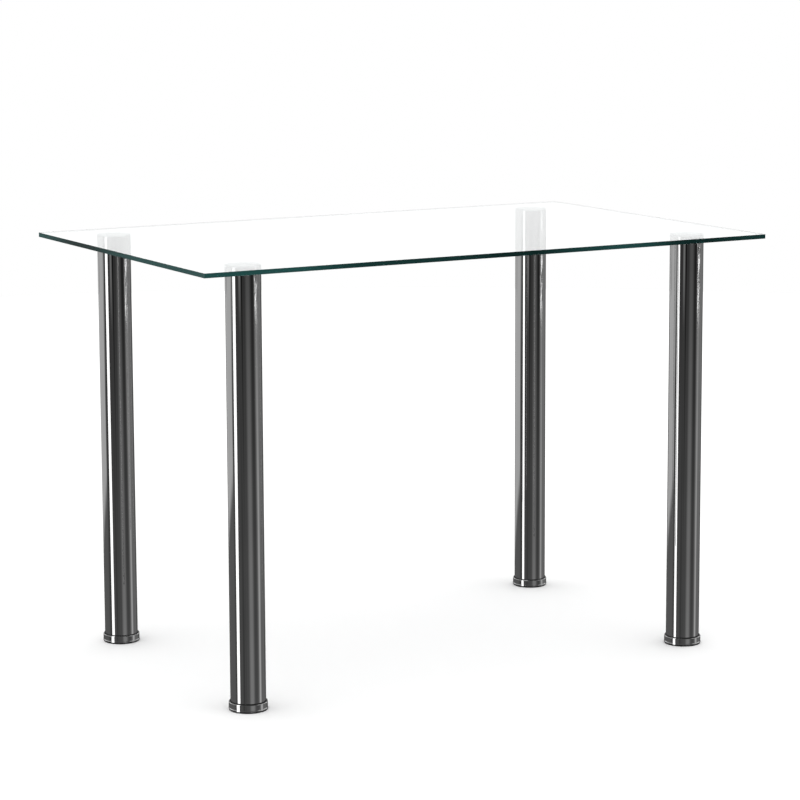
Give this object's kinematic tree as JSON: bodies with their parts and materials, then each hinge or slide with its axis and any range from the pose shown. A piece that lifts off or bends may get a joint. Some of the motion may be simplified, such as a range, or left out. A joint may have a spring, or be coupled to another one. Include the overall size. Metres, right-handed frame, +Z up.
{
  "type": "glass dining table",
  "caption": "Rectangular dining table with a clear glass top bonded to straight round polished steel legs on screw-adjustable levelling feet.",
  "frame": {"origin": "on the floor, under the middle of the top, with the feet screwed right in", "axes": "+X along the table, +Y across it from the front long edge to the rear one, +Z up"},
  "size_m": [1.1, 0.7, 0.75],
  "materials": {
    "clear_glass": "clear float glass, polished edges, faint green",
    "polished_steel": "polished to a mirror, with very fine lengthwise lines",
    "zinc_plated_steel": "bright zinc plating",
    "aluminium": "turned, satin",
    "clear_pvc": "soft, translucent",
    "black_nylon": "moulded, satin"
  },
  "bodies": {
    "table": {"glass_top": "clear_glass", "front_left_bond_disc": "aluminium", "front_left_leg_gasket": "clear_pvc", "front_left_top_stud": "zinc_plated_steel", "front_left_leg_tube": "polished_steel", "front_left_leg_top_plate": "zinc_plated_steel", "front_left_leg_weld_nut": "zinc_plated_steel", "front_left_foot_plug": "black_nylon", "front_left_foot_nut": "zinc_plated_steel", "front_right_bond_disc": "aluminium", "front_right_leg_gasket": "clear_pvc", "front_right_top_stud": "zinc_plated_steel", "front_right_leg_tube": "polished_steel", "front_right_leg_top_plate": "zinc_plated_steel", "front_right_leg_weld_nut": "zinc_plated_steel", "front_right_foot_plug": "black_nylon", "front_right_foot_nut": "zinc_plated_steel", "rear_left_bond_disc": "aluminium", "rear_left_leg_gasket": "clear_pvc", "rear_left_top_stud": "zinc_plated_steel", "rear_left_leg_tube": "polished_steel", "rear_left_leg_top_plate": "zinc_plated_steel", "rear_left_leg_weld_nut": "zinc_plated_steel", "rear_left_foot_plug": "black_nylon", "rear_left_foot_nut": "zinc_plated_steel", "rear_right_bond_disc": "aluminium", "rear_right_leg_gasket": "clear_pvc", "rear_right_top_stud": "zinc_plated_steel", "rear_right_leg_tube": "polished_steel", "rear_right_leg_top_plate": "zinc_plated_steel", "rear_right_leg_weld_nut": "zinc_plated_steel", "rear_right_foot_plug": "black_nylon", "rear_right_foot_nut": "zinc_plated_steel"},
    "front_left_glide": {"front_left_foot_glide": "black_nylon"},
    "front_left_foot": {"front_left_foot_cup": "polished_steel", "front_left_foot_stud": "zinc_plated_steel", "front_left_foot_liner": "black_nylon"},
    "front_right_glide": {"front_right_foot_glide": "black_nylon"},
    "front_right_foot": {"front_right_foot_cup": "polished_steel", "front_right_foot_stud": "zinc_plated_steel", "front_right_foot_liner": "black_nylon"},
    "rear_left_glide": {"rear_left_foot_glide": "black_nylon"},
    "rear_left_foot": {"rear_left_foot_cup": "polished_steel", "rear_left_foot_stud": "zinc_plated_steel", "rear_left_foot_liner": "black_nylon"},
    "rear_right_glide": {"rear_right_foot_glide": "black_nylon"},
    "rear_right_foot": {"rear_right_foot_cup": "polished_steel", "rear_right_foot_stud": "zinc_plated_steel", "rear_right_foot_liner": "black_nylon"}
  },
  "joints": [
    {"name": "front_left_foot_lift", "type": "slide", "parent": "table", "child": "front_left_glide", "axis": [0, 0, -1], "range_m": [0, 0.015]},
    {"name": "front_left_foot_turn", "type": "hinge", "parent": "front_left_glide", "child": "front_left_foot", "pos_m": [-0.44, -0.264, 0], "axis": [0, 0, -1], "range_deg": [0, 3600]},
    {"name": "front_right_foot_lift", "type": "slide", "parent": "table", "child": "front_right_glide", "axis": [0, 0, -1], "range_m": [0, 0.015]},
    {"name": "front_right_foot_turn", "type": "hinge", "parent": "front_right_glide", "child": "front_right_foot", "pos_m": [0.44, -0.264, 0], "axis": [0, 0, -1], "range_deg": [0, 3600]},
    {"name": "rear_left_foot_lift", "type": "slide", "parent": "table", "child": "rear_left_glide", "axis": [0, 0, -1], "range_m": [0, 0.015]},
    {"name": "rear_left_foot_turn", "type": "hinge", "parent": "rear_left_glide", "child": "rear_left_foot", "pos_m": [-0.44, 0.264, 0], "axis": [0, 0, -1], "range_deg": [0, 3600]},
    {"name": "rear_right_foot_lift", "type": "slide", "parent": "table", "child": "rear_right_glide", "axis": [0, 0, -1], "range_m": [0, 0.015]},
    {"name": "rear_right_foot_turn", "type": "hinge", "parent": "rear_right_glide", "child": "rear_right_foot", "pos_m": [0.44, 0.264, 0], "axis": [0, 0, -1], "range_deg": [0, 3600]}
  ],
  "couplings": [
    {"joint": "front_left_foot_lift", "follows": "front_left_foot_turn", "m_per_rad": 0.00023873},
    {"joint": "front_right_foot_lift", "follows": "front_right_foot_turn", "m_per_rad": 0.00023873},
    {"joint": "rear_left_foot_lift", "follows": "rear_left_foot_turn", "m_per_rad": 0.00023873},
    {"joint": "rear_right_foot_lift", "follows": "rear_right_foot_turn", "m_per_rad": 0.00023873}
  ]
}
